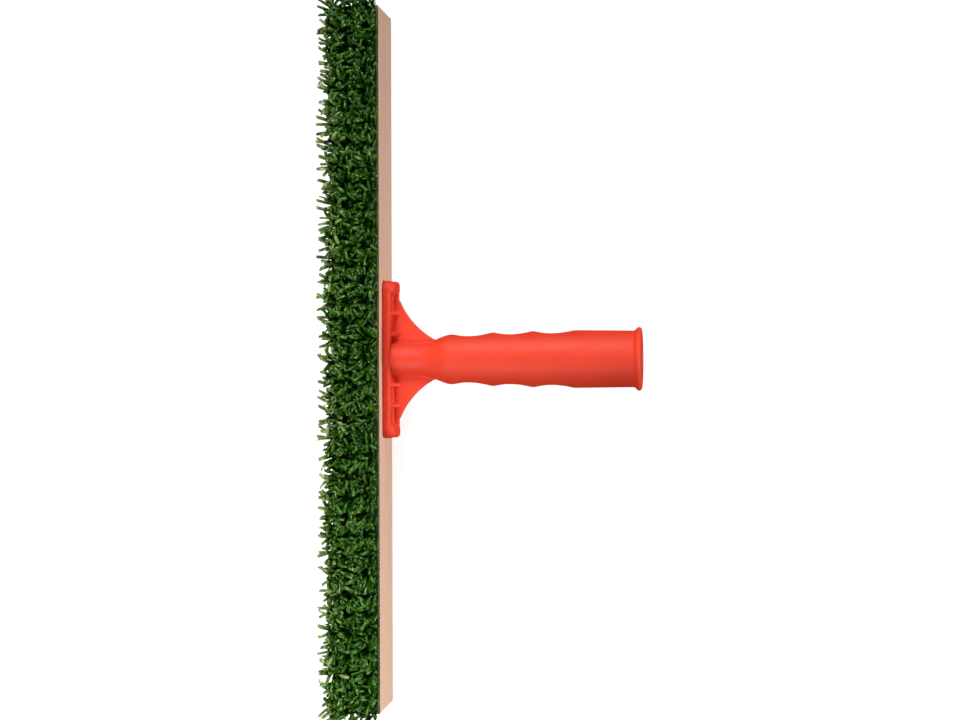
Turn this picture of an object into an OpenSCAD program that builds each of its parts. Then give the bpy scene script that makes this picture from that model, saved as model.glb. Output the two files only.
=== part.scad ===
// Turf applicator: a beech batten faced with a strip of moulded turf, carried by a one-piece
// plastic handle whose grip is a socket for a pole.
//
// Frame: +Z comes out of the turf, +Y runs along the batten and +X runs along the handle, out
// of the pole socket. The tool lies on the batten's bare face and on the rim of the socket.
// The origin is the bottom centre of the bounding box.

/* [Batten] */
// Length of the batten
batten_len = 400; // [200:10:600]
// Width of the batten's turf face, along the handle
batten_w = 27; // [24:1:40]
// Depth of the batten's face that carries the handle
batten_h = 36; // [36:1:60]
// Rounding of the batten's long edges
batten_round = 0.8; // [0.4:0.1:2]

/* [Turf] */
// Thickness of the carrier sheet under the turf
backing_t = 1.2; // [0.8:0.1:3]
// Thickness of the sheet that joins the roots of the tufts
root_t = 0.8; // [0.4:0.1:2]
// Height of the tufts above the root sheet
tuft_h = 12; // [6:1:25]
// Radius of a tuft at its root
tuft_root_r = 2; // [1.5:0.1:3]
// Radius over the splayed tips of a tuft
tuft_tip_r = 5.3; // [3:0.1:5.3]
// Outward lean of the tufts at the ends and along the edge away from the handle, in degrees
edge_lean = 9; // [0:1:10]
// Least distance between the rows of tufts
least_row_pitch = 10.9; // [10.7:0.1:16]
// Number of tufts across the strip
tuft_columns = 3; // [2:1:3]
// Distance between the columns of tufts
column_pitch = 10.7; // [10.7:0.1:11.5]
// Distance from the handle's side of the turf to its first column of tufts
first_column = 5.5; // [2.5:0.1:6]
// Distance from each end of the turf to its last row of tufts
end_margin = 3.5; // [2.5:0.5:6]

/* [Staples] */
// Least distance between two staples in a channel
least_staple_pitch = 41; // [15:1:80]
// Width of a staple's crown, along the batten
staple_crown = 10; // [6:1:12]
// Length of a staple's legs below its crown
staple_leg = 12; // [8:1:20]
// Width of the staple wire
staple_wire_w = 1.2; // [0.8:0.1:1.4]
// Thickness of the staple wire
staple_wire_t = 0.6; // [0.4:0.1:0.8]

/* [Handle saddle] */
// Length of the saddle plate along the batten
plate_len = 90; // [90:1:110]
// Width of the saddle plate across the batten's face
plate_w = 22; // [20:1:30]
// Thickness of the saddle plate
plate_t = 4.8; // [4:0.1:6]
// Height of the end pads and of the flat stretch of the web
pad_h = 8; // [8:0.1:10]
// Length of each end pad
pad_len = 8; // [7:0.5:9]
// Thickness of the web that braces the neck along the batten
web_t = 3; // [2:0.5:4]
// Distances of the gusset ribs from the handle's axis
gusset_at = [14.5, 26.5]; // [12:0.5:30]
// Thickness of a gusset rib
gusset_t = 2; // [1.5:0.1:3]

/* [Handle grip] */
// Reach of the handle from the batten to its open end
handle_len = 147; // [144:1:160]
// Radius of the neck's waist
waist_r = 9.25; // [9:0.05:10]
// Radius of the grip's first crest, next to the neck
first_crest_r = 14.15; // [14:0.05:15]
// Largest radius of the grip
grip_r = 16.2; // [16:0.1:17]
// Depth of a finger scoop below the crests
scoop_depth = 1.7; // [0:0.1:1.8]
// Radius of the rim round the open end
rim_r = 18; // [17:0.1:18]

/* [Pole socket] */
// Radius of the socket, for a 24 mm pole
socket_r = 12.1; // [10.5:0.1:12.3]
// Depth of the straight part of the socket
socket_depth = 85; // [40:1:88]

/* [Screws] */
// Distance of each screw from the handle's axis
screw_at = 40; // [39:0.1:41]
// Outer radius of the screw's thread
screw_r = 2; // [1.5:0.1:2.2]
// Radius of the screw's countersunk head
screw_head_r = 3.8; // [3:0.1:4.5]
// Depth of the head's top below the batten's far face
screw_sunk = 1; // [0:0.1:2]
// How far the screw's point reaches into the end pad
screw_bite = 6; // [4:0.1:6.5]

/* [Hidden] */
round_fn = 96;
overlap = 0.5;                      // how far joined solids run into each other

// Places in the frame
tuft_len = tuft_h + root_t / 2;     // from the middle of the root sheet to the tips
lean_len = (tuft_len - tuft_tip_r * sin(edge_lean)) / cos(edge_lean);
lean_reach = lean_len * sin(edge_lean) + tuft_tip_r * cos(edge_lean);
pile_reach = first_column + (tuft_columns - 1) * column_pitch + lean_reach;
pile_overhang = max(0, pile_reach - batten_w);
total_x = handle_len + batten_w + pile_overhang;
face_x = total_x / 2 - handle_len;  // the batten's face that carries the handle
batten_x = face_x - batten_w;       // the batten's far face
axis_z = batten_h / 2;              // height of the handle's axis
root_z = batten_h + backing_t;      // underside of the root sheet
pile_z = root_z + root_t;           // top of the root sheet

// Turf and staples
row_span = batten_len - 2 * end_margin;
row_gaps = floor(row_span / least_row_pitch);
row_ys = [for (i = [0:row_gaps]) (i / row_gaps - 0.5) * row_span];
column_xs = [for (i = [0:tuft_columns - 1]) face_x - first_column - i * column_pitch];
channel_xs = [for (i = [0:tuft_columns - 2]) column_xs[i] - column_pitch / 2];
staple_end = 14;                    // from the end of the batten to the first staple
staple_span = batten_len - 2 * staple_end;
staple_gaps = floor(staple_span / least_staple_pitch);
staple_ys = [for (i = [0:staple_gaps]) (i / staple_gaps - 0.5) * staple_span];

// Saddle
plate_edge_r = 2.2;                 // rounding of the plate's long edges
plate_corner_r = 5;
pad_corner_r = 2.5;
pad_ridge_w = 6;                    // width of a pad's top, where its sides slope up to it
gusset_top = 8.6;                   // reach of the gussets from the batten, at the web
web_arc_r = 44.5;                   // hollow curve of the web, from the pads up to the neck
web_arc_s = 49.5;
web_arc_y = 50.7;
web_top = 29;                       // reach of the web, where it runs out into the neck
web_flat_end = 33.5;                // where the web's flat stretch begins

// Neck and grip, as distances from the batten's face and radii
neck_foot_r = 10.75;
waist_s = 17.8;
crest_s = 39.2;                     // first crest
crest_pitch = 23.1;
scoops = 3;
grip_end_s = crest_s + scoops * crest_pitch;
flare_s = handle_len - 7.5;
flare_r = 15.8;
rim_s = handle_len - 2.5;
rim_edge = 1;
neck_steps = 12;
scoop_r = 38;

// Hollow of the handle
socket_end_s = handle_len - socket_depth;
taper_end_s = 36;
taper_end_r = 10.5;
core_start_s = 8;
core_end_s = 30;
core_r = 5.5;
mouth_chamfer = 1;

// Screws, driven through the batten from its far face into blind holes in the pads
screw_len = batten_w - screw_sunk + screw_bite;
shank_bore_r = screw_r + 0.25;
pilot_r = screw_r + 0.05;
pilot_depth = screw_bite + 0.8;
head_h = screw_head_r - screw_r;
head_bore_r = screw_head_r + 0.2;
thread_root_r = screw_r - 0.5;
thread_pitch = 1.8;
thread_turns = floor((screw_len - head_h - 3) / thread_pitch);
point_len = 3;
slot_w = 1;
slot_len = 4.4;
slot_depth = 1.5;

// Radius of the neck and grip over their crests at distance s from the batten
function foot_r(s) = waist_r + (neck_foot_r - waist_r) * pow((waist_s - s) / waist_s, 2);
function swell_r(t) = waist_r + (first_crest_r - waist_r) * (1 - cos(180 * pow(t, 1.25))) / 2;
function crest_r(s) =
    grip_r - (grip_r - first_crest_r) * pow((grip_end_s - s) / (grip_end_s - crest_s), 2);

neck_profile = concat(
    [for (i = [0:neck_steps - 1]) let (s = waist_s * i / neck_steps) [foot_r(s), s]],
    [for (i = [0:neck_steps - 1]) let (t = i / neck_steps)
        [swell_r(t), waist_s + t * (crest_s - waist_s)]]);
grip_profile = [for (i = [0:neck_steps]) let (s = crest_s + (grip_end_s - crest_s) * i / neck_steps)
    [crest_r(s), s]];
rim_profile = [
    [flare_r, flare_s], [rim_r, rim_s], [rim_r, handle_len - rim_edge],
    [rim_r - rim_edge, handle_len], [0, handle_len]];

// Rectangle with true arcs at its corners, centred
module rounded_rect(size, r) {
    square([size[0] - 2 * r, size[1]], center = true);
    square([size[0], size[1] - 2 * r], center = true);
    for (x = [-1, 1], y = [-1, 1])
        translate([x * (size[0] / 2 - r), y * (size[1] / 2 - r)]) circle(r = r, $fn = 32);
}

// Puts a solid drawn along +Z on the handle's axis, with its own +X along the batten
module along_handle() {
    translate([face_x, 0, axis_z]) rotate([90, 0, 90]) children();
}

// Same, at both screws, starting from the batten's far face
module at_screws() {
    along_handle() for (side = [-1, 1]) translate([side * screw_at, 0, -batten_w]) children();
}

// Legs of every staple, or the slots for them
module staple_legs() {
    for (x = channel_xs, y = staple_ys, end = [-1, 1])
        translate([x - staple_wire_w / 2,
                   y + end * (staple_crown - staple_wire_t) / 2 - staple_wire_t / 2,
                   pile_z - staple_leg])
            cube([staple_wire_w, staple_wire_t, staple_leg + overlap]);
}

// Beech batten, drilled for the screws and pierced by the staples
module batten() {
    color("burlywood") difference() {
        translate([batten_x + batten_w / 2, batten_len / 2, batten_h / 2]) rotate([90, 0, 0])
            linear_extrude(batten_len) rounded_rect([batten_w, batten_h], batten_round);
        at_screws() {
            cylinder(r = shank_bore_r, h = batten_w + 1, $fn = 32);
            translate([0, 0, screw_sunk])
                cylinder(r1 = head_bore_r, r2 = shank_bore_r, h = head_bore_r - shank_bore_r,
                         $fn = 32);
            translate([0, 0, -1]) cylinder(r = head_bore_r, h = screw_sunk + 1, $fn = 32);
        }
        staple_legs();
    }
}

// Carrier sheet between the batten and the turf
module turf_backing() {
    color("darkslategray") difference() {
        translate([batten_x, -batten_len / 2, batten_h]) cube([batten_w, batten_len, backing_t]);
        staple_legs();
    }
}

// Tuft that widens from root to tip, and leans outward at the edge or at an end of the strip
module tuft(at_edge, at_end) {
    leans = at_edge || at_end != 0;
    heading = at_end == 0 ? 180 : at_edge ? at_end * 135 : at_end * 90;
    rotate(heading) rotate([0, leans ? edge_lean : 0, 0])
        cylinder(r1 = tuft_root_r, r2 = tuft_tip_r, h = leans ? lean_len : tuft_len, $fn = 32);
}

// Moulded turf: the tufts, joined by a thin root sheet
module turf_pile() {
    color("forestgreen") difference() {
        union() {
            translate([batten_x, -batten_len / 2, root_z]) cube([batten_w, batten_len, root_t]);
            for (i = [0:tuft_columns - 1], j = [0:row_gaps])
                translate([column_xs[i], row_ys[j], pile_z - root_t / 2])
                    tuft(i == tuft_columns - 1, j == 0 ? -1 : j == row_gaps ? 1 : 0);
        }
        staple_legs();
    }
}

// Wire staples, each with its crown across the top of the root sheet
module turf_staples() {
    color("silver") {
        for (x = channel_xs, y = staple_ys)
            translate([x - staple_wire_w / 2, y - staple_crown / 2, pile_z])
                cube([staple_wire_w, staple_crown, staple_wire_t]);
        staple_legs();
    }
}

// Saddle plate with rounded long edges and rounded corners
module saddle_plate() {
    intersection() {
        linear_extrude(plate_t) rounded_rect([plate_len, plate_w], plate_corner_r);
        translate([plate_len / 2, 0, plate_t / 2]) rotate([0, -90, 0])
            linear_extrude(plate_len) rounded_rect([plate_t, plate_w], plate_edge_r);
    }
}

// End pad that takes a screw from behind: full width at the plate, sloping up to a flat ridge
module end_pad() {
    intersection() {
        translate([plate_len / 2, 0, 0]) rotate([90, 0, -90]) linear_extrude(pad_len)
            polygon([[-plate_w / 2 + 1, plate_t - overlap], [plate_w / 2 - 1, plate_t - overlap],
                     [pad_ridge_w / 2, pad_h], [-pad_ridge_w / 2, pad_h]]);
        translate([plate_len / 2 - pad_len / 2, plate_w / 2, pad_h / 2]) rotate([90, 0, 0])
            linear_extrude(plate_w) rounded_rect([pad_len, pad_h], pad_corner_r);
    }
}

// Upright web from pad to pad, with a hollow curve on each side up to the neck
module web() {
    translate([0, web_t / 2, 0]) rotate([90, 0, 0]) linear_extrude(web_t) {
        difference() {
            translate([-web_flat_end, plate_t - overlap])
                square([2 * web_flat_end, web_top - plate_t + overlap]);
            for (side = [-1, 1]) translate([side * web_arc_y, web_arc_s])
                circle(r = web_arc_r, $fn = round_fn);
        }
        for (side = [0, 1]) mirror([side, 0]) translate([web_flat_end - overlap, plate_t - overlap])
            square([plate_len / 2 - pad_len - web_flat_end + 2 * overlap,
                    pad_h - plate_t + overlap]);
    }
}

// Gusset rib on both sides of the web
module gusset() {
    translate([gusset_t / 2, 0, 0]) rotate([90, 0, -90]) linear_extrude(gusset_t)
        polygon([[-plate_w / 2 + 1, plate_t - overlap], [plate_w / 2 - 1, plate_t - overlap],
                 [web_t / 2, gusset_top], [-web_t / 2, gusset_top]]);
}

// Neck, grip and rim as one turned shape, with finger scoops cut across both sides
module neck_and_grip() {
    difference() {
        rotate_extrude($fn = round_fn)
            polygon(concat([[0, 0]], neck_profile, grip_profile, rim_profile));
        for (i = [0:scoops - 1], side = [-1, 1]) let (s = crest_s + (i + 0.5) * crest_pitch)
            translate([side * (crest_r(s) - scoop_depth + scoop_r), 0, s]) rotate([90, 0, 0])
                cylinder(r = scoop_r, h = 4 * rim_r, center = true, $fn = round_fn);
    }
}

// Hollow for the pole, its taper and the moulding core in the neck
module socket_hollow() {
    translate([0, 0, core_start_s]) cylinder(r = core_r, h = taper_end_s - core_start_s, $fn = 48);
    translate([0, 0, core_end_s])
        cylinder(r1 = core_r, r2 = taper_end_r, h = taper_end_s - core_end_s, $fn = round_fn);
    translate([0, 0, taper_end_s])
        cylinder(r1 = taper_end_r, r2 = socket_r, h = socket_end_s - taper_end_s, $fn = round_fn);
    translate([0, 0, socket_end_s]) cylinder(r = socket_r, h = socket_depth + 1, $fn = round_fn);
    translate([0, 0, handle_len - mouth_chamfer])
        cylinder(r1 = socket_r, r2 = socket_r + mouth_chamfer, h = mouth_chamfer, $fn = round_fn);
}

// One-piece handle: saddle, web, gussets, neck and hollow grip
module handle() {
    color("orangered") difference() {
        along_handle() difference() {
            union() {
                saddle_plate();
                web();
                neck_and_grip();
                for (side = [0, 1]) mirror([side, 0, 0]) {
                    end_pad();
                    for (y = gusset_at) translate([y, 0, 0]) gusset();
                }
            }
            socket_hollow();
        }
        at_screws() translate([0, 0, batten_w - 1])
            cylinder(r = pilot_r, h = pilot_depth + 1, $fn = 32);
    }
}

// Countersunk wood screw with a ringed thread and a cross recess, its head at the origin
module screw() {
    thread_end = screw_len - point_len;
    difference() {
        rotate_extrude($fn = 48) polygon(concat(
            [[0, screw_len], [thread_root_r, thread_end]],
            [for (i = [0:thread_turns - 1], edge = [0, 1])
                edge == 0 ? [screw_r, thread_end - (i + 0.5) * thread_pitch]
                          : [thread_root_r, thread_end - (i + 1) * thread_pitch]],
            [[thread_root_r, head_h + 0.5], [screw_r, head_h], [screw_head_r, 0], [0, 0]]));
        for (turn = [0, 90]) rotate(turn) translate([-slot_len / 2, -slot_w / 2, -1])
            cube([slot_len, slot_w, slot_depth + 1]);
    }
}

// The two screws that hold the handle, their heads sunk in the batten's far face
module handle_screws() {
    color("gainsboro") at_screws() translate([0, 0, screw_sunk]) screw();
}

batten();
turf_backing();
turf_pile();
turf_staples();
handle();
handle_screws();
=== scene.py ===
"""Looks of the turf applicator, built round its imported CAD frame.

Shapes are worked out in millimetres, in the frame of the part: +Z out of the turf, +Y along the
batten, +X along the handle. The CAD boxes give every place, and meshes are made in metres.
"""

import itertools
import math

import bpy
import numpy as np
from mathutils import Matrix, Vector


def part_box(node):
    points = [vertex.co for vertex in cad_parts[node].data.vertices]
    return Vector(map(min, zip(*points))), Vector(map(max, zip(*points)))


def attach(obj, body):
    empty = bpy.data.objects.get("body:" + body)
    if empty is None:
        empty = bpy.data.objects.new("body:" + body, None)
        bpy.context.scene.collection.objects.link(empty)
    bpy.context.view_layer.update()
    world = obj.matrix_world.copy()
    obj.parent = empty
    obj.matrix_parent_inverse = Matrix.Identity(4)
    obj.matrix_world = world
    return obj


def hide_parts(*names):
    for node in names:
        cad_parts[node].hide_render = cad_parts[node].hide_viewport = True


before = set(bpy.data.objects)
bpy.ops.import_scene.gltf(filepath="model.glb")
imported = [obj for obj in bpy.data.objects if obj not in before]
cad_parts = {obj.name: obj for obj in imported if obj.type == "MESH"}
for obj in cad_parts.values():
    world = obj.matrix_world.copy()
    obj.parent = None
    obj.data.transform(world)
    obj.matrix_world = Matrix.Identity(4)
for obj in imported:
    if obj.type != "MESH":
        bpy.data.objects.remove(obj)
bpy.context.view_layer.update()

MM = 0.001                                   # metres in a millimetre
rng = np.random.default_rng(20)


def box_mm(node):
    """Lowest and highest corner of a CAD node, in millimetres."""
    low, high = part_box(node)
    return np.array(low) / MM, np.array(high) / MM


BATTEN_LOW, BATTEN_HIGH = box_mm("batten")
BACKING_LOW, BACKING_HIGH = box_mm("turf_backing")
PILE_LOW, PILE_HIGH = box_mm("turf_pile")
HANDLE_LOW, HANDLE_HIGH = box_mm("handle")
SCREWS_LOW, SCREWS_HIGH = box_mm("handle_screws")
STAPLES_LOW, STAPLES_HIGH = box_mm("turf_staples")
FACE_X = BATTEN_HIGH[0]                      # the batten's face that carries the handle
AXIS_Z = (HANDLE_LOW[2] + HANDLE_HIGH[2]) / 2
SCREW_HEAD_R = (SCREWS_HIGH[2] - SCREWS_LOW[2]) / 2
SCREW_AT = SCREWS_HIGH[1] - SCREW_HEAD_R     # distance of each screw from the handle's axis


# ---------------------------------------------------------------- pieces and meshes

def add_piece(name, points, faces, material, node, attributes=None):
    """Smooth-shaded piece that stands for a CAD node. Points are in millimetres."""
    mesh = bpy.data.meshes.new(name)
    mesh.from_pydata((np.asarray(points, float) * MM).tolist(), [], faces)
    for key, values in (attributes or {}).items():
        layer = mesh.attributes.new(key, "FLOAT", "POINT")
        layer.data.foreach_set("value", np.asarray(values, np.float32))
    mesh.polygons.foreach_set("use_smooth", [True] * len(mesh.polygons))
    mesh.materials.append(material)
    mesh.update()
    piece = bpy.data.objects.new(name, mesh)
    bpy.context.scene.collection.objects.link(piece)
    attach(piece, "root")
    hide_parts(node)
    return piece


class Shape:
    """Points and faces gathered from several parts of one mesh."""

    def __init__(self):
        self.points, self.faces, self.marks = [], [], []
        self.count = 0

    def add(self, points, faces, marks=None):
        """Adds points and the faces between them; marks are rows of numbers, one per point."""
        self.points.append(np.asarray(points, float))
        self.faces.extend([tuple(int(i) + self.count for i in face) for face in faces])
        if marks is not None:
            self.marks.append(np.asarray(marks, float))
        self.count += len(points)

    def all_points(self):
        """Points of every part, one below the other."""
        return np.concatenate(self.points)

    def all_marks(self):
        """Marks of every part, in the order of the points."""
        return np.concatenate(self.marks)


def loft_faces(rings, around, closed_ends=True):
    """Quads between consecutive rings of points, and a cap at each end."""
    faces = []
    for i in range(rings - 1):
        for j in range(around):
            k = (j + 1) % around
            faces.append((i * around + j, i * around + k,
                          (i + 1) * around + k, (i + 1) * around + j))
    if closed_ends:
        faces.append(tuple(reversed(range(around))))
        faces.append(tuple((rings - 1) * around + j for j in range(around)))
    return faces


def rounded_rectangle(width, height, radius, steps):
    """Outline of a rectangle with arcs at its corners, centred, anticlockwise."""
    outline = []
    for corner, (sx, sy) in enumerate([(1, 1), (-1, 1), (-1, -1), (1, -1)]):
        centre = np.array([sx * (width / 2 - radius), sy * (height / 2 - radius)])
        for step in range(steps + 1):
            angle = math.pi / 2 * (corner + step / steps)
            outline.append(centre + radius * np.array([math.cos(angle), math.sin(angle)]))
    return np.array(outline)


def smoothstep(low, high, value):
    """Rises smoothly from 0 at low to 1 at high."""
    t = np.clip((value - low) / (high - low), 0, 1)
    return t * t * (3 - 2 * t)


# ---------------------------------------------------------------- solids from distance fields

def join(a, b, fillet):
    """Union of two distance fields, with a fillet in the corner between them."""
    h = np.clip(0.5 + 0.5 * (b - a) / fillet, 0, 1)
    return b * (1 - h) + a * h - fillet * h * (1 - h)


def cut(a, b, rounding):
    """Solid a without solid b, with the new edge rounded."""
    return -join(-a, b, rounding)


def common(a, b, rounding):
    """Where both solids are, with the new edge rounded."""
    return -join(-a, -b, rounding)


def graded(*stretches):
    """Positions along one axis, from stretches of (start, end, step)."""
    pieces = [np.linspace(start, end, max(2, math.ceil((end - start) / step) + 1))[:-1]
              for start, end, step in stretches]
    return np.concatenate(pieces + [[stretches[-1][1]]])


def field_mesh(field, axes):
    """Mesh of the surface where field(x, y, z) is zero: a vertex in each cell that it crosses."""
    axes = [np.asarray(axis, np.float32) for axis in axes]
    values = field(*np.meshgrid(*axes, indexing="ij", sparse=True)).astype(np.float32)
    cells = tuple(n - 1 for n in values.shape)
    total = np.zeros(cells + (3,), np.float32)
    count = np.zeros(cells, np.int16)
    crossings = []
    for axis in range(3):
        near = np.take(values, range(cells[axis]), axis)
        far = np.take(values, range(1, cells[axis] + 1), axis)
        crossed = (near < 0) != (far < 0)
        part = np.where(crossed, near / np.where(crossed, near - far, 1), 0)
        crossings.append((crossed, near < 0))
        side_a, side_b = (axis + 1) % 3, (axis + 2) % 3
        for shift_a, shift_b in itertools.product((0, 1), repeat=2):
            window = [slice(None)] * 3
            window[side_a] = slice(shift_a, shift_a + cells[side_a])
            window[side_b] = slice(shift_b, shift_b + cells[side_b])
            here = crossed[tuple(window)]
            total[..., axis] += part[tuple(window)]
            total[..., side_a] += shift_a * here
            total[..., side_b] += shift_b * here
            count += here
    used = np.argwhere(count > 0)
    number = np.full(cells, -1)
    number[tuple(used.T)] = np.arange(len(used))
    mean = total[tuple(used.T)] / count[tuple(used.T)][:, None]
    starts = np.stack([axis[used[:, i]] for i, axis in enumerate(axes)], 1)
    widths = np.stack([np.diff(axis)[used[:, i]] for i, axis in enumerate(axes)], 1)
    faces = []
    for axis, (crossed, inward) in enumerate(crossings):
        side_a, side_b = (axis + 1) % 3, (axis + 2) % 3
        places = np.argwhere(crossed)
        keep = np.ones(len(places), bool)
        for side in (side_a, side_b):
            keep &= (places[:, side] > 0) & (places[:, side] < cells[side])
        places = places[keep]
        corners = []
        for shift_a, shift_b in ((1, 1), (0, 1), (0, 0), (1, 0)):
            cell = places.copy()
            cell[:, side_a] -= shift_a
            cell[:, side_b] -= shift_b
            corners.append(number[tuple(cell.T)])
        quads = np.stack(corners, 1)
        outward = inward[tuple(places.T)]
        quads[~outward] = quads[~outward][:, ::-1]
        faces.extend(map(tuple, quads.tolist()))
    return settle(starts + mean * widths, field, float(widths.min())), faces


def settle(points, field, step):
    """Moves points onto the surface of a field along its slope."""
    reach = 0.05 * step
    for _ in range(4):
        value = field(*points.T)
        slope = np.stack([(field(*(points + reach * e).T) - field(*(points - reach * e).T))
                          / (2 * reach) for e in np.eye(3)], 1)
        move = value[:, None] * slope / np.maximum((slope ** 2).sum(1), 0.05)[:, None]
        length = np.linalg.norm(move, axis=1, keepdims=True)
        points = points - move * np.minimum(1, 0.4 * step / np.maximum(length, 1e-9))
    return points


# ---------------------------------------------------------------- materials

class Look:
    """A material with one Principled shader, and short calls for the nodes that feed it."""

    def __init__(self, name):
        self.material = bpy.data.materials.new(name)
        self.material.use_nodes = True
        self.tree = self.material.node_tree
        self.shader = self.tree.nodes["Principled BSDF"]
        self.place = self.node("TexCoord", output="Object")

    def node(self, kind, output=0, inputs=None, **settings):
        """Adds a node, sets it up and gives one of its outputs."""
        node = self.tree.nodes.new("ShaderNode" + kind)
        for key, value in settings.items():
            setattr(node, key, value)
        for key, value in (inputs or {}).items():
            self.feed(node.inputs[key], value)
        return node.outputs[output]

    def feed(self, socket, value):
        """Links a socket to another node's output, or sets it to a constant."""
        if isinstance(value, bpy.types.NodeSocket):
            self.tree.links.new(value, socket)
        else:
            socket.default_value = value

    def set(self, **sockets):
        """Feeds the shader's sockets, named with underscores for spaces."""
        for key, value in sockets.items():
            self.feed(self.shader.inputs[key.replace("_", " ")], value)

    def stretched(self, scale):
        """Object coordinates, scaled differently along each axis."""
        return self.node("Mapping", inputs={"Vector": self.place, "Scale": scale})

    def noise(self, scale, detail=2.0, rough=0.5, place=None):
        """Noise from 0 to 1, with this many features in a metre."""
        return self.node("TexNoise", "Fac", {
            "Vector": place or self.place, "Scale": scale, "Detail": detail, "Roughness": rough})

    def ramp(self, value, stops):
        """Colour for a value, from stops of (position, colour)."""
        output = self.node("ValToRGB", "Color", {"Fac": value})
        elements = output.node.color_ramp.elements
        while len(elements) < len(stops):
            elements.new(0.5)
        for element, (position, colour) in zip(elements, stops):
            element.position = position
            element.color = (*colour, 1.0)
        return output

    def spread(self, value, low, high, start=0.0, end=1.0):
        """Value mapped from start..end to low..high."""
        return self.node("MapRange", "Result", {
            "Value": value, "From Min": start, "From Max": end, "To Min": low, "To Max": high})

    def mix(self, share, a, b):
        """Colour a blended towards colour b by a share from 0 to 1."""
        output = self.node("Mix", 2, data_type="RGBA")
        for key, value in ((0, share), (6, a), (7, b)):
            self.feed(output.node.inputs[key], value)
        return output

    def math(self, how, a, b=0.0):
        """One sum on two numbers or outputs."""
        output = self.node("Math", operation=how)
        self.feed(output.node.inputs[0], a)
        self.feed(output.node.inputs[1], b)
        return output

    def bump(self, height, distance, strength=1.0, under=None):
        """Bump this many metres deep, laid over the bump under it."""
        inputs = {"Height": height, "Distance": distance, "Strength": strength}
        if under is not None:
            inputs["Normal"] = under
        return self.node("Bump", inputs=inputs)


def handle_look():
    """Orange-red moulded polypropylene: satin, faintly mottled, with a parting line."""
    look = Look("handle_plastic")
    mottle = look.noise(55.0, 3.0)
    cloud = look.noise(14.0, 2.0)
    colour = look.ramp(look.math("MULTIPLY", look.math("ADD", mottle, cloud), 0.5),
                       [(0.3, (0.72, 0.040, 0.014)), (0.7, (0.80, 0.052, 0.019))])
    grain = look.noise(1700.0, 2.0)
    ripple = look.noise(220.0, 2.0)
    height = look.node("SeparateXYZ", "Z", {"Vector": look.place})
    off_line = look.math("ABSOLUTE", look.math("SUBTRACT", height, AXIS_Z * MM))
    parting = look.spread(off_line, 1.0, 0.0, 0.0, 0.3 * MM)
    normal = look.bump(parting, 0.06 * MM)
    normal = look.bump(ripple, 0.15 * MM, 0.35, normal)
    normal = look.bump(grain, 0.03 * MM, 0.6, normal)
    look.set(Base_Color=colour, Roughness=look.spread(mottle, 0.5, 0.64, 0.3, 0.7),
             Normal=normal)
    look.set(Subsurface_Weight=0.06, Subsurface_Scale=0.002, Specular_IOR_Level=0.3)
    look.shader.inputs["Subsurface Radius"].default_value = (1.0, 0.2, 0.1)
    return look.material


def beech_look():
    """Planed steamed beech: growth rings, straight fine grain along the batten, dark flecks."""
    look = Look("beech")
    pith = look.node("VectorMath", operation="SUBTRACT", inputs={
        0: look.place, 1: (-0.105, 0.0, -0.060)})
    across = look.node("VectorMath", operation="MULTIPLY", inputs={0: pith, 1: (1.0, 0.0, 1.0)})
    from_pith = look.node("VectorMath", "Value", operation="LENGTH", inputs={0: across})
    wander = look.noise(9.0, 2.0, 0.5, look.stretched((1.0, 0.35, 1.0)))
    ring = look.math("FRACT", look.math("MULTIPLY", look.math(
        "ADD", from_pith, look.math("MULTIPLY", wander, 0.008)), 420.0))
    late = look.math("POWER", ring, 4.0)
    along = look.stretched((1.0, 0.02, 1.0))
    bands = look.noise(420.0, 4.0, 0.6, along)
    fibres = look.noise(2600.0, 3.0, 0.6, along)
    tone = look.noise(9.0, 2.0, 0.5, look.stretched((3.0, 1.0, 3.0)))
    wood = look.ramp(bands, [(0.25, (0.700, 0.435, 0.300)), (0.5, (0.835, 0.535, 0.385)),
                             (0.75, (0.900, 0.592, 0.438))])
    wood = look.mix(look.spread(fibres, 0.0, 0.5, 0.35, 0.7), wood, (0.64, 0.390, 0.275, 1))
    wood = look.mix(look.math("MULTIPLY", late, 0.4), wood, (0.53, 0.30, 0.20, 1))
    wood = look.mix(look.spread(tone, 0.0, 0.3, 0.3, 0.7), wood, (0.87, 0.60, 0.45, 1))
    cells = look.node("TexVoronoi", "Distance", {
        "Vector": look.stretched((1.0, 0.16, 1.0)), "Scale": 620.0, "Randomness": 1.0})
    fleck = look.spread(cells, 1.0, 0.0, 0.10, 0.20)
    sparse = look.spread(look.noise(160.0, 1.0), 0.0, 1.0, 0.48, 0.56)
    fleck = look.math("MULTIPLY", fleck, sparse)
    wood = look.mix(look.math("MULTIPLY", fleck, 0.55), wood, (0.30, 0.155, 0.095, 1))
    normal = look.bump(fibres, 0.05 * MM, 0.7)
    normal = look.bump(fleck, -0.04 * MM, 0.6, normal)
    look.set(Base_Color=wood, Roughness=look.spread(bands, 0.62, 0.75), Normal=normal)
    look.set(Specular_IOR_Level=0.25)
    return look.material


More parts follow.
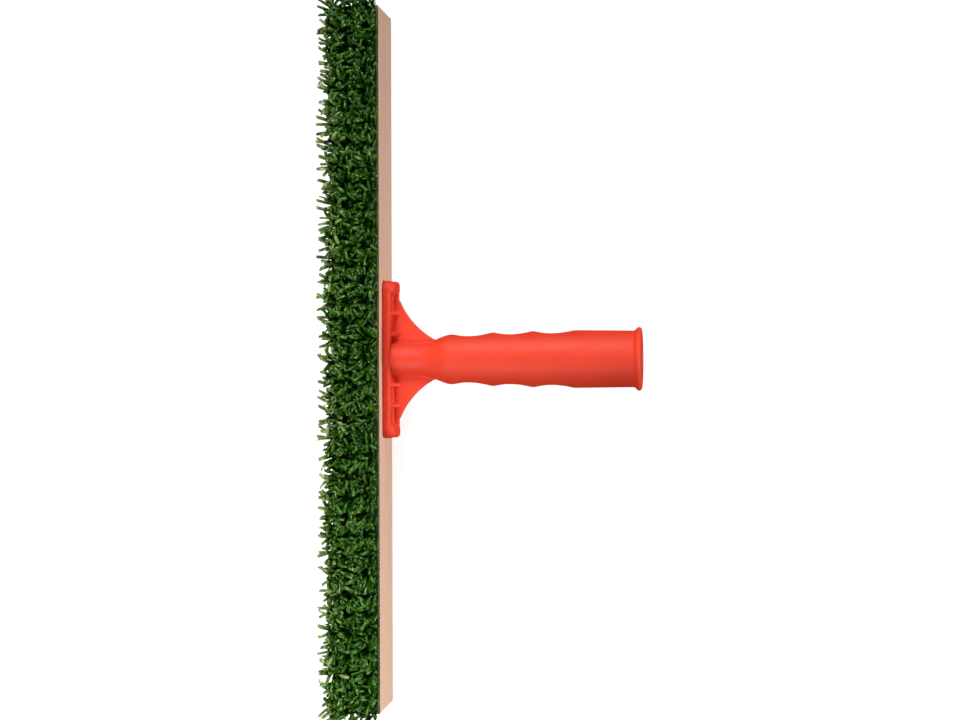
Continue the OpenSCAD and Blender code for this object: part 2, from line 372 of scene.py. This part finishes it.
def turf_look():
    """Glossy green polyethylene blades, each with its own tint. Painted shade darkens them towards
    the root, and high tints paint the outer spikes pale: worn colour plus a painted glow of light
    through the blades.
    """
    look = Look("turf_plastic")
    tint = look.node("Attribute", "Fac", attribute_name="tint")
    along = look.node("Attribute", "Fac", attribute_name="along")
    cloud = look.noise(420.0, 3.0)
    shade = look.math("ADD", look.math("MULTIPLY", tint, 0.8), look.math("MULTIPLY", cloud, 0.2))
    colour = look.ramp(shade, [(0.1, (0.009, 0.050, 0.001)), (0.4, (0.018, 0.082, 0.002)),
                               (0.62, (0.042, 0.128, 0.007)), (0.9, (0.26, 0.32, 0.10))])
    # High-tint blades, the outer spikes, turn pale towards the tip: partly worn colour, partly a
    # painted glow of light shining through them.
    tip_wear_and_glow = look.math("MULTIPLY", look.spread(along, 0.0, 0.55, 0.4, 1.0),
                     look.math("POWER", tint, 4.0))
    colour = look.mix(tip_wear_and_glow, colour, (0.38, 0.46, 0.22, 1))
    # Painted shade: blades darken towards the root, where the depth of the pile is in shade.
    colour = look.mix(look.spread(along, 0.7, 0.0, 0.05, 0.5), colour, (0.002, 0.055, 0.000, 1))
    scuff = look.noise(1500.0, 3.0)
    normal = look.bump(look.noise(650.0, 2.0), 0.12 * MM, 0.35)
    normal = look.bump(scuff, 0.02 * MM, 0.4, normal)
    look.set(Base_Color=colour, Roughness=look.spread(scuff, 0.1, 0.24, 0.3, 0.7),
             Normal=normal)
    look.set(Subsurface_Weight=0.3, Subsurface_Scale=0.0014, Specular_IOR_Level=0.62)
    look.set(Specular_Tint=(0.8, 1.0, 0.65, 1.0))
    look.shader.inputs["Subsurface Radius"].default_value = (0.9, 1.0, 0.1)
    return look.material


def sheet_look():
    """Dull moulded sheet under the tufts: nearly black with painted shade under the blades,
    grey-green with a painted highlight on its bead's crest, and dusty all over.
    """
    look = Look("turf_sheet")
    # The lip mask paints shade under the blades and a highlight along the bead's crest.
    lip_shading = look.node("Attribute", "Fac", attribute_name="lip_shading")
    dust = look.noise(700.0, 3.0, 0.6)
    shade = look.math("ADD", look.math("MULTIPLY", lip_shading, 0.75), look.math("MULTIPLY", dust, 0.25))
    colour = look.ramp(shade, [(0.05, (0.004, 0.034, 0.001)), (0.25, (0.018, 0.040, 0.010)),
                               (0.5, (0.048, 0.082, 0.022)), (0.85, (0.115, 0.165, 0.052))])
    look.set(Base_Color=colour, Roughness=look.spread(dust, 0.4, 0.65),
             Normal=look.bump(dust, 0.06 * MM, 0.6))
    look.set(Specular_IOR_Level=0.35)
    return look.material


def carrier_look():
    """Dark grey-green carrier sheet, matt, with dust in its fine ribs."""
    look = Look("turf_carrier")
    dust = look.noise(800.0, 4.0, 0.7)
    patch = look.noise(130.0, 2.0)
    colour = look.ramp(look.math("MULTIPLY", look.math("ADD", dust, patch), 0.5),
                       [(0.35, (0.006, 0.012, 0.006)), (0.65, (0.022, 0.036, 0.020))])
    normal = look.bump(dust, 0.08 * MM, 0.7)
    look.set(Base_Color=colour, Roughness=look.spread(patch, 0.55, 0.75), Normal=normal)
    look.set(Specular_IOR_Level=0.3)
    return look.material


def metal_look(name, colour, streak):
    """Zinc-plated wire or screw: fine drawn streaks and dull patches."""
    look = Look(name)
    fine = look.noise(2400.0, 3.0, 0.6, look.stretched(streak))
    patch = look.noise(500.0, 2.0)
    dull = tuple(0.72 * c for c in colour)
    shade = look.ramp(patch, [(0.35, dull), (0.65, colour)])
    look.set(Base_Color=shade, Roughness=look.spread(fine, 0.22, 0.42, 0.3, 0.7),
             Normal=look.bump(fine, 0.02 * MM, 0.5))
    look.set(Metallic=1.0)
    return look.material


# ---------------------------------------------------------------- batten

HEAD_BORE_R, SHANK_BORE_R, HEAD_SUNK = 4.0, 2.25, 1.0


def lathe_x(profile, around, middle_y, middle_z):
    """Points and faces of a solid turned about a line along X, from (x, radius) stations."""
    points = []
    for x, radius in profile:
        for j in range(around):
            angle = 2 * math.pi * j / around
            points.append((x, middle_y + radius * math.cos(angle),
                           middle_z + radius * math.sin(angle)))
    return points, loft_faces(len(profile), around)


def drill(piece, profile):
    """Cuts a turned hole for each screw out of a piece, and keeps its planed faces flat."""
    holes = Shape()
    for side in (-1, 1):
        holes.add(*lathe_x(profile, 48, side * SCREW_AT, AXIS_Z))
    mesh = bpy.data.meshes.new("holes")
    mesh.from_pydata((holes.all_points() * MM).tolist(), [], holes.faces)
    cutter = bpy.data.objects.new("holes", mesh)
    bpy.context.scene.collection.objects.link(cutter)
    modifier = piece.modifiers.new("holes", "BOOLEAN")
    modifier.operation, modifier.solver, modifier.object = "DIFFERENCE", "EXACT", cutter
    bpy.context.view_layer.update()
    drilled = piece.evaluated_get(bpy.context.evaluated_depsgraph_get())
    piece.data = bpy.data.meshes.new_from_object(drilled)
    piece.modifiers.clear()
    for polygon in piece.data.polygons:
        polygon.use_smooth = max(abs(part) for part in polygon.normal) < 0.9999
    bpy.data.objects.remove(cutter)


def make_batten():
    """Planed bar with eased long edges and ends, bored and countersunk for the screws."""
    size = BATTEN_HIGH - BATTEN_LOW
    middle = (BATTEN_LOW + BATTEN_HIGH) / 2
    arris, end_break = 0.5, 0.25
    stations = [(BATTEN_LOW[1], end_break), (BATTEN_LOW[1] + end_break, 0.0)]
    stations += [(y, 0.0) for y in np.linspace(BATTEN_LOW[1] + 4, BATTEN_HIGH[1] - 4, 60)]
    stations += [(BATTEN_HIGH[1] - end_break, 0.0), (BATTEN_HIGH[1], end_break)]
    points = []
    for y, inset in stations:
        outline = rounded_rectangle(size[0] - 2 * inset, size[2] - 2 * inset, arris, 5)
        for x, z in outline:
            points.append((middle[0] + x, y, middle[2] - z))
    faces = loft_faces(len(stations), len(outline))
    batten = add_piece("batten_wood", points, faces, beech_look(), "batten")
    seat = BATTEN_LOW[0] + HEAD_SUNK
    drill(batten, [(BATTEN_LOW[0] - 1, HEAD_BORE_R), (seat, HEAD_BORE_R),
                   (seat + HEAD_BORE_R - SHANK_BORE_R, SHANK_BORE_R),
                   (BATTEN_HIGH[0] + 1, SHANK_BORE_R)])


# ---------------------------------------------------------------- turf

TUFT_ROOT = 4.3                              # radius of the patch that the blades stand on
ROWS = 37
COLUMNS_FROM_FACE = (5.7, 16.4, 26.4)
END_MARGIN = 3.0
row_ys = np.linspace(BATTEN_LOW[1] + END_MARGIN, BATTEN_HIGH[1] - END_MARGIN, ROWS)
column_xs = [FACE_X - reach for reach in COLUMNS_FROM_FACE]
SHEET_TOP = BACKING_HIGH[2] + 0.8            # top of the sheet that joins the tufts' roots
PILE_TOP = PILE_HIGH[2]
BLADES_PER_TUFT, SPIKE_EVERY = 23, 4         # in the outer column every fourth blade is a spike
# Least and most lean at the root, usual bend and how much it varies, in degrees
OUTER, INNER = (9, 32, 3, 7), (0, 30, 19, 15)
PROFILE = np.array([(-1, -0.5), (-0.9, 0.35), (0, 0.5), (0.9, 0.35), (1, -0.5), (0, -0.6)])
STATIONS = np.array([0, 0.14, 0.28, 0.42, 0.55, 0.67, 0.78, 0.88, 0.955, 0.99, 1.0])
TIP_WIDTHS = np.array([0.9, 0.95, 1, 1, 1, 1, 1, 1, 0.97, 0.8, 0.45])


def blade_path(root, heading, lean, bend, curl, length, sway):
    """Centreline of a blade that leans along its heading, bends on and may curl at its tip."""
    out = np.array([math.cos(heading), math.sin(heading), 0.0])
    side = np.array([-out[1], out[0], 0.0])
    angles = lean + bend * STATIONS ** 1.4 + curl * smoothstep(0.45, 1.0, STATIONS)
    steps = np.diff(STATIONS)
    middles = (angles[1:] + angles[:-1]) / 2
    across = np.concatenate([[0], np.cumsum(steps * np.sin(middles))]) * length
    rise = np.concatenate([[0], np.cumsum(steps * np.cos(middles))]) * length
    drift = sway * length * STATIONS ** 2
    path = root + across[:, None] * out + drift[:, None] * side
    path[:, 2] += rise
    return path, angles, out, side


def add_blade(turf, root, heading, leaning, limits, tint):
    """Adds one ribbon blade that stays between the limits; gives up after a few tries."""
    low, high = limits
    length = rng.uniform(8.5, 15.5)
    width = rng.uniform(1.55, 2.1)
    thick = rng.uniform(0.4, 0.55)
    for _ in range(40):
        lean = math.radians(rng.uniform(*leaning[:2]))
        bend = math.radians(rng.normal(*leaning[2:]))
        curl = math.radians(rng.uniform(50, 150)) if rng.uniform() < 0.16 else 0.0
        sway = rng.uniform(-0.2, 0.2)
        twist = rng.normal(0, 0.3) + rng.normal(0, 0.5) * STATIONS
        path, angles, out, side = blade_path(root, heading, lean, bend, curl, length, sway)
        if (path.min(0) > low + 0.7).all() and (path.max(0) < high - 0.7).all():
            break
        length = max(8.0, 0.985 * length)
    else:
        return
    rings, marks = [], []
    for i, station in enumerate(STATIONS):
        normal = math.cos(angles[i]) * out - math.sin(angles[i]) * np.array([0, 0, 1.0])
        wide = math.cos(twist[i]) * side + math.sin(twist[i]) * normal
        deep = -math.sin(twist[i]) * side + math.cos(twist[i]) * normal
        for u, v in PROFILE:
            offset = u * width / 2 * TIP_WIDTHS[i] * wide + (v * thick + 0.22 * u * u) * deep
            rings.append(path[i] + offset)
            marks.append((tint, station))
    points = np.clip(rings, low, high)
    turf.add(points, loft_faces(len(STATIONS), len(PROFILE)), marks)


def add_collar(turf, x, y):
    """Low moulded mound round the root of a tuft."""
    around = 14
    profile = [(3.3, -0.05), (2.7, 0.25), (2.2, 0.8), (1.7, 1.25), (0.8, 1.35)]
    points = []
    for radius, height in profile:
        for j in range(around):
            angle = 2 * math.pi * j / around
            points.append((np.clip(x + radius * math.cos(angle), BACKING_LOW[0], BACKING_HIGH[0]),
                           np.clip(y + radius * math.sin(angle), BACKING_LOW[1], BACKING_HIGH[1]),
                           SHEET_TOP + height))
    # Collars take the blades' painted root shade (along near 0).
    marks = [(0.2, 0.05)] * len(points)
    turf.add(points, loft_faces(len(profile), around), marks)


def add_tuft(turf, x, y, limits, outer):
    """Blades of one tuft. In the outer column some are long spikes that reach over the edge."""
    start = rng.uniform(0, 2 * math.pi)
    for i in range(BLADES_PER_TUFT):
        place = start + 2 * math.pi * (i + rng.uniform(-0.35, 0.35)) / BLADES_PER_TUFT
        ring = TUFT_ROOT * math.sqrt(rng.uniform(0.02, 1.0))
        root = np.array([max(x + ring * math.cos(place), PILE_LOW[0] + 6.8),
                         y + ring * math.sin(place), SHEET_TOP + 0.45])
        # High tints make the outer blades paler, partly as a painted glow of light through them.
        if outer and i % SPIKE_EVERY == 0:
            add_blade(turf, root, math.pi + rng.normal(0, 0.45), OUTER, limits,
                      rng.uniform(0.66, 1.0))
        else:
            short = limits[0] + [rng.uniform(3.2, 7.0) if outer else 0, 0, 0]
            tint = rng.uniform(0.25, 0.86) if outer else rng.uniform(0.0, 0.66)
            add_blade(turf, root, place + rng.normal(0, 0.6), INNER, (short, limits[1]), tint)


def make_root_sheet():
    """Thin moulded sheet that joins the tufts, with a small bead along its long edges."""
    low, high = BACKING_LOW, BACKING_HIGH
    # Each bead point is (inset, rise, painted light): 0 is painted shade under the blades, 1 a
    # painted highlight on the crest.
    bead = [(7.0, -0.3, 0.0), (3.0, -0.3, 0.3), (1.7, -0.15, 0.6), (0.9, 0.1, 0.9),
            (0.4, 0.1, 1.0), (0.12, -0.12, 0.8), (0.0, -0.45, 0.3), (0.12, -0.8, 0.0)]
    half = (high[0] - low[0]) / 2
    outline = [(half - inset, rise, lip_shading) for inset, rise, lip_shading in bead]
    outline += [(-u, rise, lip_shading) for u, rise, lip_shading in reversed(outline)]
    stations = np.linspace(low[1], high[1], 240)
    points, marks = [], []
    for y in stations:
        wander = 0.14 * math.sin(y / 2.7) * math.sin(y / 7.1) + 0.08 * math.sin(y / 1.3)
        for u, rise, lip_shading in outline:
            edge = abs(wander) if abs(u) > half - 2 else 0.0
            points.append(((low[0] + high[0]) / 2 + u - math.copysign(edge, u), y,
                           SHEET_TOP + rise + (0.5 * wander if rise > 0 else 0.0)))
            marks.append(lip_shading * (0.75 + 1.6 * wander))
    add_piece("turf_sheet", points, loft_faces(len(stations), len(outline)), sheet_look(),
              "turf_pile", {"lip_shading": marks})


def make_turf():
    """Collars and every blade of the moulded turf, one piece for each column of tufts."""
    look = turf_look()
    limits = (np.array([PILE_LOW[0], PILE_LOW[1], SHEET_TOP - 0.5]),
              np.array([PILE_HIGH[0] + 1.4, PILE_HIGH[1], PILE_TOP]))
    for number, x in enumerate(column_xs, 1):
        outer = x == column_xs[-1]
        turf = Shape()
        for y in row_ys:
            add_collar(turf, x, y)
            add_tuft(turf, x, y, limits, outer)
        marks = turf.all_marks()
        add_piece(f"turf_blades_{number}", turf.all_points(), turf.faces, look, "turf_pile",
                  {"tint": marks[:, 0], "along": marks[:, 1]})


def make_carrier():
    """Carrier sheet with ribs across it, which show as uneven teeth along its cut edges."""
    low, high = BACKING_LOW, BACKING_HIGH
    rib_pitch, rib_reach, samples = 2.3, 0.24, 6
    outline = rounded_rectangle(high[0] - low[0] - 2 * rib_reach, high[2] - low[2], 0.3, 3)
    middle = (low + high) / 2
    ribs = int((high[1] - low[1]) / rib_pitch)
    wear = rng.uniform(0.1, 1.0, (2, ribs + 2))
    stations = np.linspace(low[1], high[1], ribs * samples)
    points = []
    for y in stations:
        turn = (y - low[1]) / rib_pitch
        rib = abs(math.sin(math.pi * turn))
        for x, z in outline:
            tooth = 0.0
            if abs(x) > 5:
                reach = rib_reach * wear[int(x > 0), int(turn)]
                tooth = math.copysign(rib_reach * 0.4 + reach * 0.6 * (2 * rib - 1), x)
            points.append((middle[0] + x + tooth, y, middle[2] - z))
    faces = loft_faces(len(stations), len(outline))
    add_piece("turf_carrier_sheet", points, faces, carrier_look(), "turf_backing")


# ---------------------------------------------------------------- staples

def make_staples():
    """Bent wire staples with rounded shoulders, one swept path each."""
    wire_w, wire_t, shoulder = 1.2, 0.6, 0.7
    crown_half = 5.0 - wire_t / 2
    channel_xs = [STAPLES_LOW[0] + wire_w / 2, STAPLES_HIGH[0] - wire_w / 2]
    per_channel = 10
    first_y, last_y = STAPLES_LOW[1] + 5.0, STAPLES_HIGH[1] - 5.0
    crown_z = STAPLES_HIGH[2] - wire_t / 2
    foot_z = STAPLES_LOW[2]
    section = rounded_rectangle(wire_w, wire_t, 0.16, 2)
    wires = Shape()
    for x, y in itertools.product(channel_xs, np.linspace(first_y, last_y, per_channel)):
        bend = [(-crown_half + shoulder * (1 - math.cos(a)), crown_z - shoulder * (1 - math.sin(a)),
                 math.pi / 2 - a) for a in np.linspace(0, math.pi / 2, 5)]
        path = [(-crown_half, foot_z, math.pi / 2)] + bend
        path += [(-u, z, -tilt) for u, z, tilt in reversed(path)]
        points = []
        for u, z, tilt in path:
            for a, b in section:
                points.append((x + a, y + u - b * math.sin(tilt), z + b * math.cos(tilt)))
        wires.add(points, loft_faces(len(path), len(section)))
    add_piece("staple_wires", wires.all_points(), wires.faces,
              metal_look("staple_wire", (0.62, 0.62, 0.60), (1.0, 0.1, 1.0)),
              "turf_staples")


# ---------------------------------------------------------------- handle

# S is a distance from the batten's face, Y one along the batten from the handle's axis
PLATE_HALF_LEN, PLATE_HALF_W, PLATE_T = 45.0, 11.0, 4.45
PLATE_CORNER, PLATE_EDGE = 5.0, 1.7
PAD_TOP, PAD_START, PAD_FULL = 7.7, 35.4, 39.4
WEB_TOP = 7.9
GUSSET_YS = (14.5, 26.5)
GUSSET_TOP, GUSSET_T = 8.6, 2.24
WEB_T, WEB_FLAT_END, WEB_END = 3.0, 33.9, 44.3
WEB_ARC_R, WEB_ARC_S, WEB_ARC_Y = 44.5, 49.5, 50.7
FOOT_R, WAIST_R, WAIST_S = 10.75, 9.25, 17.8
CREST_S, CREST_R, CREST_PITCH = 39.2, 14.3, 23.1
SCOOPS, SCOOP_DEPTH = 3, 1.65
GRIP_R, GRIP_END = 16.35, CREST_S + SCOOPS * CREST_PITCH
SCOOP_R = (CREST_PITCH ** 2 / 4 + SCOOP_DEPTH ** 2) / (2 * SCOOP_DEPTH)
FLARE_R, RIM_R = 15.95, 18.0
FLARE_START, FLARE_END = 142.4, 145.2
SCREW_HOLE_R, SCREW_HOLE_END = 2.05, 6.1
HANDLE_LEN = HANDLE_HIGH[0] - FACE_X


def crest_radius(s):
    """Radius over the crests of the grip."""
    return GRIP_R - (GRIP_R - CREST_R) * ((GRIP_END - s) / (GRIP_END - CREST_S)) ** 2


def outer_radius(s):
    """Radius of the neck and grip without their scoops."""
    foot = WAIST_R + (FOOT_R - WAIST_R) * ((WAIST_S - s) / WAIST_S) ** 2
    t = np.clip((s - WAIST_S) / (CREST_S - WAIST_S), 0, 1)
    swell = WAIST_R + (CREST_R - WAIST_R) * (1 - np.cos(np.pi * t ** 1.25)) / 2
    taper = GRIP_R - (GRIP_R - FLARE_R) * (s - GRIP_END) / (FLARE_START - GRIP_END)
    flare = (RIM_R - FLARE_R) * smoothstep(FLARE_START, FLARE_END, s)
    radius = np.where(s < WAIST_S, foot, np.where(s < CREST_S, swell, crest_radius(s)))
    return np.where(s > GRIP_END, taper + flare, radius)


def scoop_centre(i):
    """Centre of the arc that runs from crest i to the next, SCOOP_DEPTH deep below their chord."""
    ends = CREST_S + np.array([i, i + 1]) * CREST_PITCH
    crests = np.column_stack([ends, crest_radius(ends)])
    chord = crests[1] - crests[0]
    outward = np.array([-chord[1], chord[0]]) / np.hypot(*chord)
    return crests.mean(0) + (SCOOP_R - SCOOP_DEPTH) * outward


def socket_radius(s):
    """Radius of the hollow: moulding core, taper, straight socket and mouth chamfer."""
    straight = np.interp(s, [29, 31, 36, 62, 140], [5.5, 6.5, 10.5, 12.1, 12.1])
    return straight + 1.2 * smoothstep(HANDLE_LEN - 1.3, HANDLE_LEN + 0.6, s)


def saddle_field(s, reach, across):
    """Plate, end pads, web and gussets. Reach is the distance along the batten from the axis."""
    corner = np.maximum(reach - PLATE_HALF_LEN + PLATE_CORNER, 0)
    side = np.maximum(across - PLATE_HALF_W + PLATE_CORNER, 0)
    inner = np.minimum(np.maximum(reach - PLATE_HALF_LEN, across - PLATE_HALF_W) + PLATE_CORNER, 0)
    outline = np.hypot(corner, side) + inner - PLATE_CORNER
    rim = outline + PLATE_EDGE
    height = np.abs(s - PLATE_T / 2) - PLATE_T / 2 + PLATE_EDGE
    plate = (np.minimum(np.maximum(rim, height), 0)
             + np.hypot(np.maximum(rim, 0), np.maximum(height, 0)) - PLATE_EDGE)

    pad_top = PLATE_T - 0.5 + (PAD_TOP - PLATE_T + 0.5) * smoothstep(PAD_START, PAD_FULL, reach)
    crown = 0.016 * across ** 2
    pad = common(s - pad_top + crown, np.maximum(outline + 0.3, 1 - s), 2.4)

    arc = WEB_ARC_R - np.hypot(s - WEB_ARC_S, reach - WEB_ARC_Y)
    edge = np.where(reach < WEB_FLAT_END, arc, s - WEB_TOP)
    edge = common(np.maximum(edge, s - 30.0), reach - WEB_END, 2.5)
    web = common(across - WEB_T / 2 + 0.01 * s, edge, 0.6)

    solid = join(join(plate, pad, 0.8), web, 1.0)
    slope = (s - GUSSET_TOP + 0.55 * (across - WEB_T / 2)) * 0.88
    for at in GUSSET_YS:
        rib = common(np.abs(reach - at) - GUSSET_T / 2, np.maximum(slope, across - 10.6), 0.7)
        solid = join(solid, np.maximum(rib, 2 - s), 0.5)
    return solid


def handle_field(x, y, z):
    """Distance field of the whole handle, in the part's frame."""
    s, reach, across = x - FACE_X, np.abs(y), np.abs(z - AXIS_Z)
    rho = np.hypot(reach, across)
    grip = (rho - outer_radius(s)) * 0.96
    for i in range(SCOOPS):
        centre = scoop_centre(i)
        grip = cut(grip, np.hypot(s - centre[0], reach - centre[1]) - SCOOP_R, 0.4)
    grip = common(grip, np.maximum(s - HANDLE_LEN, 1 - s), 2.0)
    solid = join(grip, saddle_field(s, reach, across), 0.8)
    solid = np.maximum(solid, -s)
    hollow = np.maximum(rho - socket_radius(s), 8 - s)
    solid = cut(solid, hollow, 0.5)
    screw_hole = np.maximum(np.hypot(reach - SCREW_AT, across) - SCREW_HOLE_R, s - SCREW_HOLE_END)
    return np.maximum(solid, -screw_hole)


def make_handle():
    """One-piece handle, meshed from its distance field, finest at its saddle and rim."""
    margin = 1.4
    fine, coarse = ((0.49, 1.1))
    low, high = HANDLE_LOW - margin, HANDLE_HIGH + margin
    axes = [graded((low[0], FACE_X + 12, fine), (FACE_X + 12, FACE_X + 139, coarse),
                   (FACE_X + 139, high[0], fine)),
            graded((low[1], high[1], fine)), graded((low[2], high[2], fine))]
    points, faces = field_mesh(handle_field, axes)
    add_piece("handle_moulding", points, faces, handle_look(), "handle")


# ---------------------------------------------------------------- screws

def screw_field(x, y, z):
    """Two countersunk wood screws with helical threads, lying along X, heads at low X."""
    depth = x - SCREWS_LOW[0]
    across, up = np.abs(y) - SCREW_AT, z - AXIS_Z
    rho, turn = np.hypot(across, up), np.arctan2(up, across) / (2 * np.pi)
    length = SCREWS_HIGH[0] - SCREWS_LOW[0]
    pitch, crest, core, head_r = 1.8, 2.0, 1.45, 3.8
    phase = (depth / pitch + turn) % 1.0
    ridge = np.maximum(0, 1 - np.abs(phase - 0.5) * 3.2)
    start = smoothstep(7.0, 8.5, depth)
    fade = 1 - smoothstep(length - 6, length, depth)
    body = core + 0.15 * (1 - start) + (crest - core) * ridge * start * fade
    body = body * (1 - 0.85 * smoothstep(length - 4, length, depth))
    shank = np.maximum((rho - body) * 0.7, depth - length)
    head = np.maximum((rho + depth - head_r) * 0.707, rho - head_r + 0.1)
    solid = np.maximum(join(shank, head, 0.8), -depth)
    spoke = np.minimum(np.maximum(np.abs(across) - 2.1, np.abs(up) - 0.45),
                       np.maximum(np.abs(up) - 2.1, np.abs(across) - 0.45))
    recess = np.maximum(spoke + 0.35 * depth, depth - 1.6)
    return cut(solid, recess, 0.15)


def make_screws():
    """Both screws, meshed from one distance field a side."""
    step = 0.16
    screws = Shape()
    for side in (-1, 1):
        middle = np.array([0, side * SCREW_AT, AXIS_Z])
        low, high = middle - 4.3, middle + 4.3
        low[0], high[0] = SCREWS_LOW[0] - 0.6, SCREWS_HIGH[0] + 0.6
        axes = [graded((low[i], high[i], step)) for i in range(3)]
        points, faces = field_mesh(screw_field, axes)
        screws.add(points, faces)
    add_piece("screw_pair", screws.all_points(), screws.faces,
              metal_look("zinc_steel", (0.66, 0.65, 0.60), (0.2, 1.0, 1.0)),
              "handle_screws")


# ---------------------------------------------------------------- stage, light and camera

def make_floor():
    """Plain white floor just under the tool. It glows like a light table, but lights nothing."""
    look = Look("pale_floor")
    shade = look.ramp(look.noise(6.0, 2.0), [(0.0, (0.24, 0.24, 0.24)), (1.0, (0.26, 0.26, 0.26))])
    look.set(Base_Color=shade, Roughness=0.9, Specular_IOR_Level=0.1)
    look.set(Emission_Color=(1.0, 1.0, 1.0, 1.0), Emission_Strength=0.86)
    half, under = 15.0, -0.0003
    mesh = bpy.data.meshes.new("floor")
    mesh.from_pydata([(-half, -half, under), (half, -half, under), (half, half, under),
                      (-half, half, under)], [], [(0, 1, 2, 3)])
    mesh.materials.append(look.material)
    floor = bpy.data.objects.new("floor", mesh)
    floor.visible_diffuse = floor.visible_glossy = False
    bpy.context.scene.collection.objects.link(floor)


def add_light(name, place, power, size, target, spread):
    """Square soft box that looks at the target, with a grid that narrows its light."""
    data = bpy.data.lights.new(name, "AREA")
    data.energy, data.size, data.spread = power, size, math.radians(spread)
    light = bpy.data.objects.new(name, data)
    light.location = place
    light.rotation_euler = (Vector(target) - Vector(place)).to_track_quat("-Z", "Y").to_euler()
    bpy.context.scene.collection.objects.link(light)


def make_lights():
    """White surroundings, dim towards the ground, and soft boxes above and beside the tool."""
    world = bpy.data.worlds.new("studio")
    world.use_nodes = True
    tree = world.node_tree
    background = tree.nodes["Background"]
    place = tree.nodes.new("ShaderNodeTexCoord")
    axes = tree.nodes.new("ShaderNodeSeparateXYZ")
    strength = tree.nodes.new("ShaderNodeMapRange")
    tree.links.new(place.outputs["Generated"], axes.inputs["Vector"])
    tree.links.new(axes.outputs["Z"], strength.inputs["Value"])
    tree.links.new(strength.outputs["Result"], background.inputs["Strength"])
    for key, value in (("From Min", -0.2), ("From Max", 0.6), ("To Min", 0.04), ("To Max", 0.38)):
        strength.inputs[key].default_value = value
    background.inputs["Color"].default_value = (1.0, 1.0, 1.0, 1.0)
    bpy.context.scene.world = world
    add_light("key", (-0.15, 1.35, 1.1), 4.0, 0.8, (-0.02, -0.4, 0.03), 60)
    add_light("fill", (-0.35, -0.8, 0.9), 2.05, 0.35, (-0.3, -0.3, 0.0), 50)
    add_light("side", (2.2, -0.15, 0.16), 8.2, 0.3, (-0.06, -0.7, 0.02), 70)
    bpy.context.scene.view_settings.view_transform = "Standard"


def make_camera():
    """Camera that looks down on the turf, leaning a little towards the handle's end."""
    lean, distance, roll = math.radians(8.37), 0.9345, math.radians(0.16)
    aside, below = 0.0568, 0.0004
    back = Vector((math.sin(lean), 0, math.cos(lean)))
    right = Vector((math.cos(lean), 0, -math.sin(lean)))
    up = Vector((0, 1, 0))
    edge = Vector((FACE_X * MM, 0, BATTEN_HIGH[2] * MM))
    data = bpy.data.cameras.new("camera")
    data.sensor_width, data.lens = 36.0, 62.02
    camera = bpy.data.objects.new("camera", data)
    place = edge + distance * back + aside * right - below * up
    turned_right = math.cos(roll) * right - math.sin(roll) * up
    turned_up = math.sin(roll) * right + math.cos(roll) * up
    camera.matrix_world = Matrix.Translation(place) @ Matrix(
        (turned_right, turned_up, back)).transposed().to_4x4()
    bpy.context.scene.collection.objects.link(camera)
    bpy.context.scene.camera = camera


make_camera()
make_lights()
make_floor()
make_batten()
make_carrier()
make_root_sheet()
make_turf()
make_staples()
make_handle()
make_screws()
